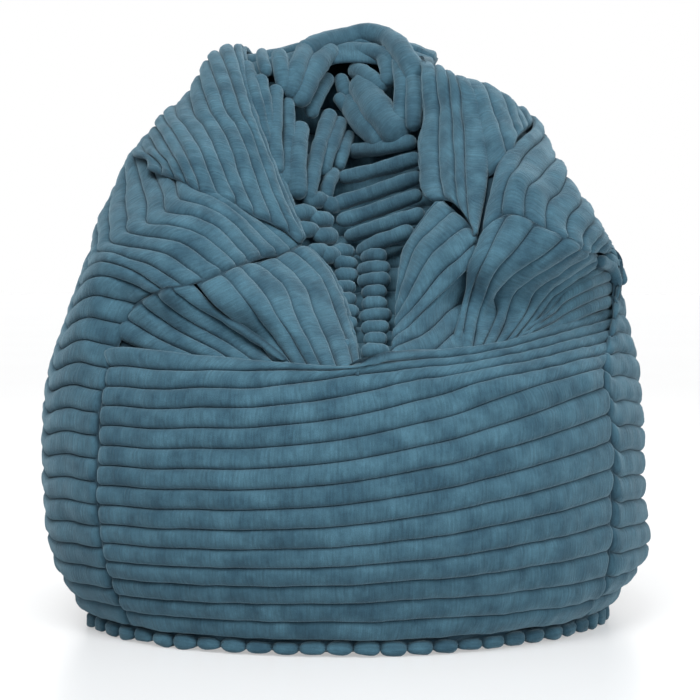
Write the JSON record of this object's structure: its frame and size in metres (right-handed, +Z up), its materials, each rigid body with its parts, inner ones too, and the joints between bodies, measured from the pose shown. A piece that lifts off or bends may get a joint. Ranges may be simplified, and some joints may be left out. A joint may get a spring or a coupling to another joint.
{
  "type": "bean bag chair",
  "caption": "Sack-shaped bean bag chair in wide-ribbed plush: sewn gores on a square base, a seat valley pressed into the front, zipped cover over a zipped, bead-filled liner.",
  "frame": {"origin": "on the floor, under the middle of the sack's plan", "axes": "+Z up, -Y towards the person who looks at the seat, +X to the sack's width on that person's right"},
  "size_m": [0.8, 0.7898, 0.7875],
  "materials": {
    "cover_plush": "deep ribbed plush with a soft sheen",
    "zip_cloth": "woven polyester tape",
    "zip_coil": "satin nylon coil",
    "zip_metal": "satin plated metal",
    "liner_cloth": "plain woven polyester",
    "liner_coil": "satin nylon coil",
    "bead_fill": "expanded polystyrene beads"
  },
  "bodies": {
    "main": {"front_gore": "cover_plush", "right_gore": "cover_plush", "back_gore": "cover_plush", "left_gore": "cover_plush", "base_panel": "cover_plush", "crown_cap": "cover_plush", "zip_tapes": "zip_cloth", "zip_coil_rows": "zip_coil", "zip_end_stops": "zip_metal", "liner_front_gore": "liner_cloth", "liner_right_gore": "liner_cloth", "liner_back_gore": "liner_cloth", "liner_left_gore": "liner_cloth", "liner_base": "liner_cloth", "liner_cap": "liner_cloth", "liner_zip_tapes": "liner_cloth", "liner_zip_coil_rows": "liner_coil", "bead_fill": "bead_fill"},
    "zip_slider": {"zip_slider": "zip_metal"},
    "zip_pull_tab": {"zip_pull_tab": "zip_metal"},
    "liner_zip_slider": {"liner_zip_slider": "zip_metal"}
  },
  "joints": [
    {"name": "zip_slide", "type": "slide", "parent": "main", "child": "zip_slider", "axis": [-1, 0, 0], "range_m": [0, 0.37]},
    {"name": "zip_tab_flip", "type": "hinge", "parent": "zip_slider", "child": "zip_pull_tab", "pos_m": [0.185, 0.3929, 0.2], "axis": [0, 0, 1], "range_deg": [0, 170]},
    {"name": "liner_zip_slide", "type": "slide", "parent": "main", "child": "liner_zip_slider", "axis": [0, -1, 0], "range_m": [0, 0.2]}
  ]
}
